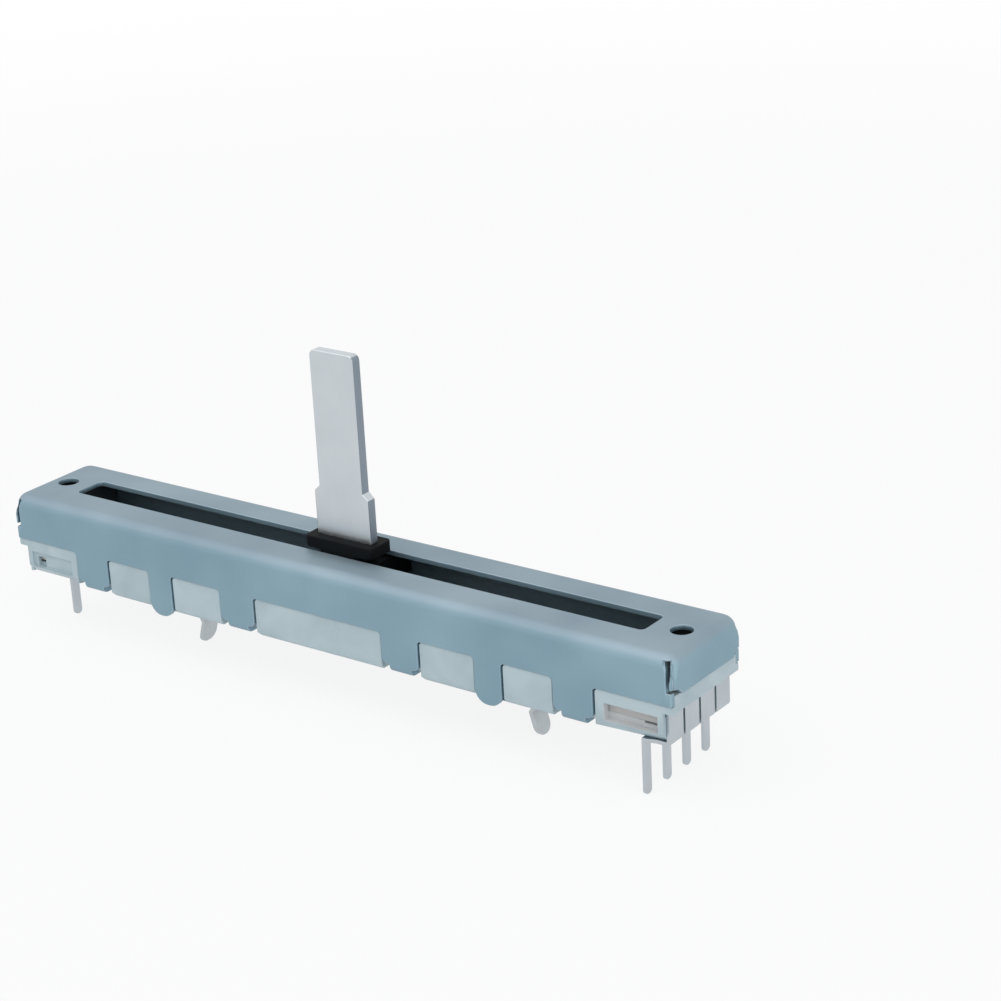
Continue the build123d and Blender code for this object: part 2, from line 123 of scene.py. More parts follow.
def startMaterial(name, **shaderValues):
    # a material with its shader's constant values, and the piece's own coordinates
    material = bpy.data.materials.new(name)
    material.use_nodes = True
    tree = material.node_tree
    shader = tree.nodes["Principled BSDF"]
    for socket, value in shaderValues.items():
        shader.inputs[socket.replace("_", " ")].default_value = value
    place = addNode(tree, "ShaderNodeTexCoord").outputs["Object"]
    return material, tree, shader, place


def linkShader(tree, shader, **outputs):
    # links each output to the shader's input of that name
    for socket, output in outputs.items():
        tree.links.new(output, shader.inputs[socket.replace("_", " ")])


def flatShare(tree):
    # 1 on faces that lie flat, 0 on upright ones, from the piece's own normals
    normal = addNode(tree, "ShaderNodeTexCoord").outputs["Normal"]
    upward = addNode(tree, "ShaderNodeSeparateXYZ", None, {"Vector": normal})
    height = addNode(tree, "ShaderNodeMath", {"operation": "ABSOLUTE"}, {0: upward.outputs["Z"]})
    share = addNode(tree, "ShaderNodeMapRange", {"interpolation_type": "SMOOTHSTEP"},
                    {"Value": height.outputs[0], "From Min": 0.15, "From Max": 0.85})
    return share.outputs[0]


# ---- materials
def bluePassivatedZinc(name, shade, light):
    # Zinc plate with a clear blue passivation, on cold-rolled sheet: a satin, cool grey metal, with
    # a painted teal tint on its upright faces for how the sides catch the light, whose tint drifts
    # over centimetres, with faint rolling lines along the length and a fine pressed grain
    material, tree, shader, place = startMaterial(name, Metallic=0.8)
    stretched = addNode(tree, "ShaderNodeMapping", None, {"Vector": place, "Scale": (0.03, 1, 1)})
    drift = addNode(tree, "ShaderNodeTexNoise", None,
                    {"Vector": place, "Scale": patternScale(11), "Detail": 2})
    lines = addNode(tree, "ShaderNodeTexNoise", None,
                    {"Vector": stretched.outputs[0], "Scale": patternScale(0.3), "Detail": 3})
    grain = addNode(tree, "ShaderNodeTexNoise", None,
                    {"Vector": place, "Scale": patternScale(0.12), "Detail": 4})
    tint = addNode(tree, "ShaderNodeMapRange", None,
                   {"Value": drift.outputs["Fac"], "From Min": 0.3, "From Max": 0.7})
    colour = addNode(tree, "ShaderNodeMix", {"data_type": "RGBA"},
                     {0: tint.outputs[0], 6: linearColour(shade), 7: linearColour(light)})
    # painted shade: upright faces tinted teal and a little lighter, for how the sides catch the
    # light
    paintedSideTint = addNode(tree, "ShaderNodeMix", {"data_type": "RGBA"},
                   {0: flatShare(tree), 6: (0.92, 1.06, 1.09, 1), 7: (1, 1, 1, 1)})
    sideTinted = addNode(tree, "ShaderNodeVectorMath", {"operation": "MULTIPLY"},
                     {0: colour.outputs[2], 1: paintedSideTint.outputs[2]})
    streaked = addNode(tree, "ShaderNodeMapRange", None,
                       {"Value": lines.outputs["Fac"], "To Min": 0.94, "To Max": 1.04})
    toned = addNode(tree, "ShaderNodeVectorMath", {"operation": "SCALE"},
                    {0: sideTinted.outputs[0], "Scale": streaked.outputs[0]})
    rough = addNode(tree, "ShaderNodeMapRange", None,
                    {"Value": lines.outputs["Fac"], "From Min": 0.2, "From Max": 0.8,
                     "To Min": 0.52, "To Max": 0.62})
    relief = addNode(tree, "ShaderNodeMath", {"operation": "ADD"},
                     {0: grain.outputs["Fac"], 1: lines.outputs["Fac"]})
    bump = addNode(tree, "ShaderNodeBump", None,
                   {"Height": relief.outputs[0], "Strength": 0.25, "Distance": 0.004 * mm})
    linkShader(tree, shader, Base_Color=toned.outputs[0], Roughness=rough.outputs[0],
               Normal=bump.outputs[0])
    return material


def mouldedPlastic(name, shade, light, gloss, smooth, dull):
    # Injection moulded resin: semi-matt, very slightly cloudy where the melt flowed, with the fine
    # grain of a spark-eroded mould. Cool off-white glass-filled polyester in the base, black acetal
    # with a weak gloss in the carrier
    material, tree, shader, place = startMaterial(name, IOR=1.5, Specular_IOR_Level=gloss)
    cloud = addNode(tree, "ShaderNodeTexNoise", None,
                    {"Vector": place, "Scale": patternScale(5), "Detail": 3, "Distortion": 0.6})
    grain = addNode(tree, "ShaderNodeTexNoise", None,
                    {"Vector": place, "Scale": patternScale(0.14), "Detail": 3})
    tint = addNode(tree, "ShaderNodeMapRange", None,
                   {"Value": cloud.outputs["Fac"], "From Min": 0.35, "From Max": 0.65})
    colour = addNode(tree, "ShaderNodeMix", {"data_type": "RGBA"},
                     {0: tint.outputs[0], 6: linearColour(shade), 7: linearColour(light)})
    rough = addNode(tree, "ShaderNodeMapRange", None,
                    {"Value": grain.outputs["Fac"], "To Min": smooth, "To Max": dull})
    bump = addNode(tree, "ShaderNodeBump", None,
                   {"Height": grain.outputs["Fac"], "Strength": 0.3, "Distance": 0.006 * mm})
    linkShader(tree, shader, Base_Color=colour.outputs[2], Roughness=rough.outputs[0],
               Normal=bump.outputs[0])
    return material


def platedMetal(name, shade, light, smooth, dull, streakAxis):
    # Bright plating over punched strip: nickel on the lever, tin on the terminals, silver on the
    # springs. Clear reflections, softened in long streaks that run the way the strip was drawn
    material, tree, shader, place = startMaterial(name, Metallic=1)
    stretch = [0.04 if axis == streakAxis else 1 for axis in "XYZ"]
    stretched = addNode(tree, "ShaderNodeMapping", None, {"Vector": place, "Scale": stretch})
    streaks = addNode(tree, "ShaderNodeTexNoise", None,
                      {"Vector": stretched.outputs[0], "Scale": patternScale(0.35), "Detail": 4})
    cloud = addNode(tree, "ShaderNodeTexNoise", None,
                    {"Vector": place, "Scale": patternScale(4), "Detail": 2})
    colour = addNode(tree, "ShaderNodeMix", {"data_type": "RGBA"},
                     {0: cloud.outputs["Fac"], 6: linearColour(shade), 7: linearColour(light)})
    rough = addNode(tree, "ShaderNodeMapRange", None,
                    {"Value": streaks.outputs["Fac"], "From Min": 0.25, "From Max": 0.75,
                     "To Min": smooth, "To Max": dull})
    bump = addNode(tree, "ShaderNodeBump", None,
                   {"Height": streaks.outputs["Fac"], "Strength": 0.2, "Distance": 0.004 * mm})
    linkShader(tree, shader, Base_Color=colour.outputs[2], Roughness=rough.outputs[0],
               Normal=bump.outputs[0])
    return material


def phenolicLaminate():
    # Paper and phenolic resin, pressed and punched: reddish brown with a paper fleck drawn out
    # along the sheet and a dull resin gloss, and pale and fibrous on the punched edges, which are
    # lightened further as painted light against the shade they lie in
    material, tree, shader, place = startMaterial("phenolicLaminate", IOR=1.58)
    stretched = addNode(tree, "ShaderNodeMapping", None, {"Vector": place, "Scale": (0.15, 1, 1)})
    fleck = addNode(tree, "ShaderNodeTexNoise", None,
                    {"Vector": stretched.outputs[0], "Scale": patternScale(0.3), "Detail": 5})
    cloud = addNode(tree, "ShaderNodeTexNoise", None,
                    {"Vector": place, "Scale": patternScale(6), "Detail": 2})
    blend = addNode(tree, "ShaderNodeMath", {"operation": "MULTIPLY"},
                    {0: fleck.outputs["Fac"], 1: cloud.outputs["Fac"]})
    tint = addNode(tree, "ShaderNodeMapRange", None,
                   {"Value": blend.outputs[0], "From Min": 0.15, "From Max": 0.38})
    face = addNode(tree, "ShaderNodeMix", {"data_type": "RGBA"},
                   {0: tint.outputs[0], 6: linearColour("#6B3B2C"), 7: linearColour("#8C5844")})
    # partly painted light: the punched edges' pale grey is raised against their shade
    edge = addNode(tree, "ShaderNodeMix", {"data_type": "RGBA"},
                   {0: fleck.outputs["Fac"], 6: linearColour("#BBBAB8"),
                    7: linearColour("#CDCCCB")})
    colour = addNode(tree, "ShaderNodeMix", {"data_type": "RGBA"},
                     {0: flatShare(tree), 6: edge.outputs[2], 7: face.outputs[2]})
    rough = addNode(tree, "ShaderNodeMapRange", None,
                    {"Value": fleck.outputs["Fac"], "To Min": 0.38, "To Max": 0.6})
    bump = addNode(tree, "ShaderNodeBump", None,
                   {"Height": fleck.outputs["Fac"], "Strength": 0.3, "Distance": 0.006 * mm})
    linkShader(tree, shader, Base_Color=colour.outputs[2], Roughness=rough.outputs[0],
               Normal=bump.outputs[0])
    return material


def printedFilm(name, dark, light, metallic, roughness):
    # Screen-printed and cured paste, carbon or silver: a fine speckle of the screen's mesh
    material, tree, shader, place = startMaterial(name, Metallic=metallic, Roughness=roughness)
    speckle = addNode(tree, "ShaderNodeTexVoronoi", None,
                      {"Vector": place, "Scale": patternScale(0.1), "Randomness": 0.8})
    colour = addNode(tree, "ShaderNodeMix", {"data_type": "RGBA"},
                     {0: speckle.outputs["Distance"], 6: linearColour(dark),
                      7: linearColour(light)})
    bump = addNode(tree, "ShaderNodeBump", None,
                   {"Height": speckle.outputs["Distance"], "Strength": 0.2, "Distance": 0.003 * mm})
    linkShader(tree, shader, Base_Color=colour.outputs[2], Normal=bump.outputs[0])
    return material


finishes = {
    "cover": bluePassivatedZinc("bluePassivatedZinc", "#879AA6", "#98AAB4"),
    # painted highlight: the cover's rounded sheared edges, a shade lighter than the sheet
    "coverEdgeHighlight": bluePassivatedZinc("shearedZincEdgeHighlight", "#97A7B2", "#A6B5BE"),
    # painted shade: the cover's inner faces darkened
    "coverInside": bluePassivatedZinc("paintedShadeZincInside", "#4E5A62", "#5A666E"),
    "housing": mouldedPlastic("mouldedPolyester", "#AEC1C9", "#BDCFD5", 0.5, 0.42, 0.56),
    # painted shade: the carrier's chamber walls darkened
    "paintedChamberShade": mouldedPlastic("chamberPaintedShade", "#2C3236", "#394045", 0.4, 0.3, 0.4),
    # painted light: the recess by the board lightened against its shade
    "recessPaintedLight": mouldedPlastic("recessPaintedLightPolyester", "#CBCED0", "#D3D5D6", 0.4, 0.5, 0.65),
    # painted shade: the screw bores' walls and floors darkened
    "bore": mouldedPlastic("paintedShadeScrewBore", "#15181A", "#1C2022", 0.2, 0.6, 0.7),
    "carrier": mouldedPlastic("mouldedAcetal", "#05080B", "#090D11", 0.12, 0.6, 0.72),
    "plate": platedMetal("tinnedSteelPlate", "#B0B7BB", "#C1C7CA", 0.38, 0.52, "X"),
    "lever": platedMetal("nickelPlatedSteel", "#BFC6CB", "#CED4D8", 0.3, 0.42, "Z"),
    # painted shade: the lever's side faces darkened
    "leverSideShade": platedMetal("leverSidePaintedShade", "#838D98", "#8F99A3", 0.4, 0.52, "Z"),
    "terminal": platedMetal("tinnedBrass", "#AEB6BC", "#C2C9CE", 0.3, 0.45, "Z"),
    "spring": platedMetal("silveredBronze", "#C9C4B4", "#DAD6C8", 0.2, 0.32, "X"),
    "board": phenolicLaminate(),
    "carbon": printedFilm("curedCarbonFilm", "#101215", "#1D2023", 0, 0.5),
    # painted shade: the silver paste darkened, standing in for the shade over the tracks in the
    # slot
    "silver": printedFilm("shadeDarkenedSilverFilm", "#70716E", "#8B8C88", 0.5, 0.45),
}
print("Materials made:", len(finishes))


# ---- pieces that keep the CAD shape, with eased edges
def mergedShape(node):
    # the CAD node's loose triangles, merged, with each flat face made one face again
    shape = bmesh.new()
    shape.from_mesh(frame["nodes"][node].data)
    bmesh.ops.remove_doubles(shape, verts=shape.verts, dist=0.001 * mm)
    bmesh.ops.dissolve_limit(shape, angle_limit=math.radians(0.1), verts=shape.verts,
                             edges=shape.edges)
    return shape


def easedPiece(name, node, edge, finishNames, pick=None, edgeFinish=-1, shape=None):
    # the node's shape with its sharp edges rounded by edge, in mm, as sheared or moulded ones are;
    # pick gives a face its finish, and edgeFinish is that of the rounded edges
    shape = shape or mergedShape(node)
    for face in shape.faces:
        face.smooth = True
        face.material_index = pick(face) if pick else 0
    mesh = bpy.data.meshes.new(name)
    shape.to_mesh(mesh)
    shape.free()
    for finish in finishNames:
        mesh.materials.append(finishes[finish])
    piece = bpy.data.objects.new(name, mesh)
    scene.collection.objects.link(piece)
    rounding = piece.modifiers.new("easedEdges", "BEVEL")
    rounding.width = edge * mm
    rounding.segments = 2
    rounding.limit_method = "ANGLE"
    rounding.angle_limit = math.radians(50)
    rounding.use_clamp_overlap = False
    rounding.loop_slide = False
    rounding.harden_normals = True
    rounding.material = edgeFinish
    flats = piece.modifiers.new("flatFaces", "WEIGHTED_NORMAL")
    flats.keep_sharp = True
    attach(piece, frame["nodes"][node]["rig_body"])
    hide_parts(node)


easedEdges = {           # mm
    "sheet": 0.07,
    "moulding": 0.06,
    "lever": 0.1,
    "terminal": 0.05,
}


def within(face, reachX, reachY, low, high):
    # whether the whole face lies that near the middle, in mm, and between the two heights
    return all(abs(v.co.x) < reachX * mm and abs(v.co.y) < reachY * mm
               and low * mm < v.co.z < high * mm for v in face.verts)


def roundEdges(shape, edges, radius, segments):
    # rounds those edges of the shape by a radius in mm
    bmesh.ops.bevel(shape, geom=edges, offset=radius * mm, segments=segments, profile=0.5,
                    affect="EDGES")
    print("Edges rounded:", len(edges))


def roundAcross(shape, places, level, radius):
    # rounds the edges across the sheet at that height and those places along the length, in mm
    chosen = [e for e in shape.edges
              if all(abs(v.co.z / mm - level) < slack
                     and min(abs(v.co.x / mm - place) for place in places) < slack for v in e.verts)
              and abs(e.verts[0].co.x - e.verts[1].co.x) < 0.001 * mm]
    roundEdges(shape, chosen, radius, 4)


def legSides(places, half):
    # where the sides of legs stand whose middles and half width those are
    return [place + side * half for place in places for side in (-1, 1)]


# ---- folded cover
coverForm = {            # mm
    "halfLength": 37.5,
    "halfWidth": 5.25,
    "sheet": 0.5,
    "cornerRadius": 1.4,         # seen from above, where the sheet is drawn round the corner
    "cornerStart": -0.9,         # height below which that radius falls
    "footRadius": 0.5,
    "footStart": -2.0,           # height below which it stays at footRadius
    "cornerCuts": 7,
    "heightCuts": 6,
    "drawnIn": 0.005,            # by which the corners' ends give way, as eased edges overshoot
    "wallFoot": 37.2,            # where the side walls' feet end
    "footLonger": 37.3,          # beyond this they are cut back to it
    "footTop": -3.1,
    "wideLegs": (-27.5, -9.35, 9.35, 27.5),
    "wideHalf": 2.0,
    "narrowLegs": (-18.8, 18.8),
    "narrowHalf": 1.4,
    "wallEdge": -4.4,
    "legRoot": 0.35,             # radius between the wall's edge and a leg
    "legShoulder": -7.3,         # where a wide leg ends beside its crimp
    "legCorner": 0.6,
    "crimpUnder": -8.0,
    "crimpBend": 0.6,            # radius of the bend where a leg turns under the plate
    "shaded": (37.001, 4.751, -7.31, -0.499),    # reach along and across, lowest and highest, of the inner faces given painted shade
}


def cutShape(shape, faces, axis, place):
    # a straight cut through those faces, across an axis at a place in mm
    normal = [1 if i == axis else 0 for i in range(3)]
    parts = set(faces)
    for face in faces:
        parts.update(face.edges, face.verts)
    bmesh.ops.bisect_plane(shape, geom=list(parts), dist=1e-8, plane_no=normal,
                           plane_co=[place * mm * n for n in normal])


def beyond(shape, reachX, reachY=0):
    # the faces that lie wholly that far from the middle, in mm, or farther
    return [f for f in shape.faces if all(abs(v.co.x) > (reachX - slack) * mm
                                          and abs(v.co.y) > (reachY - slack) * mm for v in f.verts)]


def roundCorners(shape):
    # Bends the cover's four upper corners round, from the square mitre of the folded blank
    form = coverForm
    step = form["cornerRadius"] / form["cornerCuts"]
    cornerX = form["halfLength"] - form["cornerRadius"]
    cornerY = form["halfWidth"] - form["cornerRadius"]
    drop = form["footStart"] - form["cornerStart"]
    for i in range(form["cornerCuts"]):
        for side in (-1, 1):
            cutShape(shape, shape.faces[:], 0, side * (cornerX + i * step))
    for i in range(form["cornerCuts"]):
        for side in (-1, 1):
            cutShape(shape, beyond(shape, cornerX), 1, side * (cornerY + i * step))
    for i in range(form["heightCuts"] + 1):
        cutShape(shape, beyond(shape, cornerX, cornerY), 2,
                 form["cornerStart"] + i / form["heightCuts"] * drop)
    for v in shape.verts:
        x, y, z = (c / mm for c in v.co)
        fall = min(max((z - form["cornerStart"]) / drop, 0), 1)
        radius = form["cornerRadius"] + fall * (form["footRadius"] - form["cornerRadius"])
        along = abs(x) - (form["halfLength"] - radius)
        across = abs(y) - (form["halfWidth"] - radius)
        if along > 0 and across > 0:
            share = max(along, across) / math.hypot(along, across)
            v.co.x = math.copysign(form["halfLength"] - radius + along * share, x) * mm
            v.co.y = math.copysign(form["halfWidth"] - radius + across * share, y) * mm
        if abs(x) > cornerX - slack and abs(abs(y) - form["halfWidth"]) < 0.001:
            v.co.y -= math.copysign(form["drawnIn"], y) * mm


def trimCover(shape):
    # Ends the side walls' feet a little short, and rounds the crimps' bends and the legs' corners
    # and roots
    form = coverForm
    inside = form["halfWidth"] - form["sheet"] - slack
    for v in shape.verts:
        if (abs(v.co.x) > form["footLonger"] * mm and v.co.z < form["footTop"] * mm
                and abs(v.co.y) > inside * mm):
            v.co.x = math.copysign(form["wallFoot"] * mm, v.co.x)
    bends = [e for e in shape.edges
             if all(abs(v.co.z / mm - form["crimpUnder"]) < slack
                    and abs(abs(v.co.y) / mm - form["halfWidth"]) < slack for v in e.verts)]
    roundEdges(shape, bends, form["crimpBend"], 5)
    wideSides = legSides(form["wideLegs"], form["wideHalf"])
    narrowSides = legSides(form["narrowLegs"], form["narrowHalf"])
    roundAcross(shape, wideSides, form["legShoulder"], form["legCorner"])
    roundAcross(shape, wideSides + narrowSides, form["wallEdge"], form["legRoot"])


coverShape = mergedShape("top_cover")
trimCover(coverShape)
roundCorners(coverShape)
# painted shade on the cover's inner faces, and a painted highlight on its rounded edges
easedPiece("foldedCover", "top_cover", easedEdges["sheet"],
           ("cover", "coverEdgeHighlight", "coverInside"),
           pick=lambda face: 2 if within(face, *coverForm["shaded"]) else 0,
           edgeFinish=1, shape=coverShape)


# ---- base, plate, carrier, lever and terminals
baseForm = {             # mm
    "wideHalf": 2.25,            # half width of the notch at a wide leg, and as it is shown
    "wideShown": 2.13,
    "narrowHalf": 1.65,
    "narrowShown": 1.53,
    "notchTop": -4.45,
    "notchRoot": 0.35,
    "railsWithin": 29.7,         # the rails between the end blocks, whose edges are less bevelled
    "railBottom": -7.9,
    "railShown": -8.1,
    "railFrom": 4.25,            # from the middle, where a rail's flat bottom starts
    "innerFrom": 4.69,           # and where the points of its side and of the notches start
    "outerFrom": 5.05,           # and those of its outer face
    "bevelTop": -7.1,            # the bevel along a rail, as the solid has it
    "bevelFoot": -7.5,
    "bevelShown": -7.7,          # and its upper edge and inner end as they are shown
    "bevelInner": 4.7,
    "boreRadius": 1.25,
    "borePlace": 35,
    "boreTop": -0.5,
    "chamber": (33.36, 4.71, -5.62, -0.5),       # reach along and across, lowest and highest
    "recessAlong": (30.3, 35.8),
    "recessAcross": (4.34, 5.11),
    "recessHeight": (-7.11, -5.59),
}


def reshapeBase(shape):
    # Brings the moulding's notches close to the legs, and its rails down to the depth they show
    form = baseForm
    sides = []
    for kind in ("wide", "narrow"):
        legs, half, shown = coverForm[kind + "Legs"], form[kind + "Half"], form[kind + "Shown"]
        sides += legSides(legs, shown)
        for v in shape.verts:
            for place in legs:
                away = v.co.x / mm - place
                if abs(abs(away) - half) < slack and abs(v.co.y) > form["innerFrom"] * mm:
                    v.co.x = (place + math.copysign(shown, away)) * mm
    for v in shape.verts:
        x, y, z = (abs(c) / mm for c in v.co)
        if x > form["railsWithin"]:
            continue
        onBevelFoot = y > form["innerFrom"] and abs(z + form["bevelFoot"]) < 2 * slack
        if y > form["outerFrom"] and abs(z + form["bevelTop"]) < slack:
            v.co.z = form["bevelShown"] * mm
        elif abs(z + form["railBottom"]) < slack or onBevelFoot:
            v.co.z = form["railShown"] * mm
            if y > form["railFrom"]:
                v.co.y = math.copysign(form["bevelInner"] * mm, v.co.y)
    bmesh.ops.remove_doubles(shape, verts=shape.verts, dist=0.001 * mm)
    roundAcross(shape, sides, form["notchTop"], form["notchRoot"])


def pickBase(face):
    # the screw bores and the carrier's chamber get painted shade, and the recess by the board
    # painted light
    form = baseForm
    reach = (form["boreRadius"] + slack) * mm
    if all(math.hypot(abs(v.co.x) - form["borePlace"] * mm, v.co.y) < reach
           and v.co.z < form["boreTop"] * mm for v in face.verts):
        return 2
    if within(face, *form["chamber"]):
        return 1
    ranges = (form["recessAlong"], form["recessAcross"], form["recessHeight"])
    points = [(v.co.x / mm, abs(v.co.y / mm), v.co.z / mm) for v in face.verts]
    inRecess = all(low < c < high for point in points for c, (low, high) in zip(point, ranges))
    return 3 if inRecess and abs(face.calc_center_median().y) < form["outerFrom"] * mm else 0


baseShape = mergedShape("base_housing")
reshapeBase(baseShape)
easedPiece("mouldedBase", "base_housing", easedEdges["moulding"],
           ("housing", "paintedChamberShade", "bore", "recessPaintedLight"), pick=pickBase, shape=baseShape)
easedPiece("crimpedPlate", "bottom_plate", easedEdges["terminal"], ("plate",))
easedPiece("slidingCarrier", "slider_carrier", easedEdges["moulding"],
           ("carrier",))
# painted shade: the blade's faces that face along the length take the darkened finish
easedPiece("leverBlade", "lever", easedEdges["lever"], ("lever", "leverSideShade"),
           pick=lambda face: 1 if abs(face.normal.x) > 0.7 else 0)
for node in sorted(frame["nodes"]):
    if node.startswith("terminal_") and node != "terminal_rivets":
        easedPiece(node.replace("terminal_", "solderTerminal_"), node,
                   easedEdges["terminal"], ("terminal",))
print("Eased pieces made")


# ---- pieces that Geometry Nodes make
def startTree(name, sizes):
    # a tree whose named inputs are its sizes, after the points that it is grown on
    tree = bpy.data.node_groups.new(name, "GeometryNodeTree")
    tree.interface.new_socket(name="Geometry", in_out="INPUT", socket_type="NodeSocketGeometry")
    for size, value in sizes.items():
        kind = "NodeSocketInt" if isinstance(value, int) else "NodeSocketFloat"
        tree.interface.new_socket(name=size, in_out="INPUT", socket_type=kind)
    tree.interface.new_socket(name="finish", in_out="INPUT", socket_type="NodeSocketMaterial")
    tree.interface.new_socket(name="Geometry", in_out="OUTPUT", socket_type="NodeSocketGeometry")
    return tree, addNode(tree, "NodeGroupInput").outputs


def growOnPoints(tree, sizes, unit):
    # one copy of the unit at each point, made real and given its finish
    copies = addNode(tree, "GeometryNodeInstanceOnPoints", None,
                     {"Points": sizes["Geometry"], "Instance": unit})
    real = addNode(tree, "GeometryNodeRealizeInstances", None, {"Geometry": copies.outputs[0]})
    finished = addNode(tree, "GeometryNodeSetMaterial", None,
                       {"Geometry": real.outputs[0], "Material": sizes["finish"]})
    addNode(tree, "NodeGroupOutput", None, {"Geometry": finished.outputs[0]})


def thickened(tree, sheet, thickness):
    # a closed plate from an open sheet
    raised = addNode(tree, "GeometryNodeExtrudeMesh", None,
                     {"Mesh": sheet, "Offset Scale": thickness, "Individual": False})
    under = addNode(tree, "GeometryNodeFlipFaces", None, {"Mesh": sheet})
    both = addNode(tree, "GeometryNodeJoinGeometry")
    tree.links.new(raised.outputs["Mesh"], both.inputs[0])
    tree.links.new(under.outputs[0], both.inputs[0])
    closed = addNode(tree, "GeometryNodeMergeByDistance", None,
                     {"Geometry": both.outputs[0], "Distance": 0.0005 * mm})
    return closed.outputs[0]


def grownPiece(name, tree, sizes, spots, finish, body, slot, *nodes):
    # the tree's result on those points, in mm, as a plain mesh
    seeds = bpy.data.meshes.new(name + "Spots")
    seeds.from_pydata([[c * mm for c in spot] for spot in spots], [], [])
    piece = bpy.data.objects.new(name, seeds)
    scene.collection.objects.link(piece)
    growth = piece.modifiers.new("growth", "NODES")
    growth.node_group = tree
    for socket in tree.interface.items_tree:
        if socket.in_out == "INPUT" and socket.name in sizes:
            value = sizes[socket.name]
            growth[socket.identifier] = value if isinstance(value, int) else value * mm
        elif socket.in_out == "INPUT" and socket.name == "finish":
            growth[socket.identifier] = finishes[finish]
    bpy.context.view_layer.update()
    evaluated = piece.evaluated_get(bpy.context.evaluated_depsgraph_get())
    grown = bpy.data.meshes.new_from_object(evaluated)
    piece.modifiers.remove(growth)
    shape = bmesh.new()
    shape.from_mesh(grown)
    bmesh.ops.remove_doubles(shape, verts=shape.verts, dist=0.0005 * mm)
    bmesh.ops.recalc_face_normals(shape, faces=shape.faces)
    shape.to_mesh(grown)
    shape.free()
    grown.shade_smooth()
    grown.set_sharp_from_angle(angle=math.radians(35))
    piece.data = grown
    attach(piece, body)
    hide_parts(*nodes)
    print(name, "grown:", len(grown.polygons), "faces")


# ---- rivets of the terminals
rivetSizes = {           # mm
    "shankRadius": 0.45,
    "headRadius": 0.75,
    "headHeight": 0.22,
    "lowEnd": -6.82,
    "highEnd": -5.03,
    "profilePoints": 65,
    "profileSides": 24,
}
rivetSpots = [(34.75, -3.6, 0), (34.75, -1.2, 0), (34.75, 1.2, 0), (34.75, 3.6, 0),
              (-34.75, -1.2, 0), (-34.75, 3.6, 0)]


def rivetTree():
    # a turned profile: a shank between two domed, set heads
    tree, sizes = startTree("setRivet", rivetSizes)
    low = addNode(tree, "ShaderNodeCombineXYZ", None, {"Z": sizes["lowEnd"]})
    high = addNode(tree, "ShaderNodeCombineXYZ", None, {"Z": sizes["highEnd"]})
    line = addNode(tree, "GeometryNodeCurvePrimitiveLine", None,
                   {"Start": low.outputs[0], "End": high.outputs[0]})
    profile = addNode(tree, "GeometryNodeResampleCurve", None,
                      {"Curve": line.outputs[0], "Count": sizes["profilePoints"]})
    place = addNode(tree, "GeometryNodeInputPosition")
    height = addNode(tree, "ShaderNodeSeparateXYZ", None, {"Vector": place.outputs[0]})
    fromLow = addNode(tree, "ShaderNodeMath", {"operation": "SUBTRACT"},
                      {0: height.outputs["Z"], 1: sizes["lowEnd"]})
    fromHigh = addNode(tree, "ShaderNodeMath", {"operation": "SUBTRACT"},
                       {0: sizes["highEnd"], 1: height.outputs["Z"]})
    depth = addNode(tree, "ShaderNodeMath", {"operation": "MINIMUM"},
                    {0: fromLow.outputs[0], 1: fromHigh.outputs[0]})
    share = addNode(tree, "ShaderNodeMath", {"operation": "DIVIDE", "use_clamp": True},
                    {0: depth.outputs[0], 1: sizes["headHeight"]})
    rest = addNode(tree, "ShaderNodeMath", {"operation": "SUBTRACT"}, {0: 1, 1: share.outputs[0]})
    square = addNode(tree, "ShaderNodeMath", {"operation": "MULTIPLY"},
                     {0: rest.outputs[0], 1: rest.outputs[0]})
    under = addNode(tree, "ShaderNodeMath", {"operation": "SUBTRACT"}, {0: 1, 1: square.outputs[0]})
    dome = addNode(tree, "ShaderNodeMath", {"operation": "SQRT"}, {0: under.outputs[0]})
    domeRadius = addNode(tree, "ShaderNodeMath", {"operation": "MULTIPLY"},
                         {0: dome.outputs[0], 1: sizes["headRadius"]})
    inHead = addNode(tree, "ShaderNodeMath", {"operation": "LESS_THAN"},
                     {0: depth.outputs[0], 1: sizes["headHeight"]})
    radius = addNode(tree, "ShaderNodeMix", None,
                     {0: inHead.outputs[0], 2: sizes["shankRadius"], 3: domeRadius.outputs[0]})
    circle = addNode(tree, "GeometryNodeCurvePrimitiveCircle", None,
                     {"Resolution": sizes["profileSides"], "Radius": 1})
    turned = addNode(tree, "GeometryNodeCurveToMesh", None,
                     {"Curve": profile.outputs[0], "Profile Curve": circle.outputs[0],
                      "Scale": radius.outputs[0]})
    growOnPoints(tree, sizes, turned.outputs[0])
    return tree


grownPiece("terminalRivets", rivetTree(), rivetSizes, rivetSpots, "terminal", "body",
           "terminal_metal", "terminal_rivets")


# ---- wiper springs
wiperSizes = {           # mm
    "plateLength": 2.4,
    "plateWidth": 3.6,
    "plateUnder": -4.02,
    "thickness": 0.12,
    "holeRadius": 0.35,
    "trackPitch": 2.4,
    "combSpread": 1.0,           # between the outer fingers of a comb
    "fingers": 4,
    "fingerWidth": 0.2,
    "fingerReach": 3.1,
    "toePlace": 2.65,
    "toeUnder": -5.49,
    "tipRise": 0.4,
}
gangMiddles = [(0, -2.4, 0), (0, 2.4, 0)]


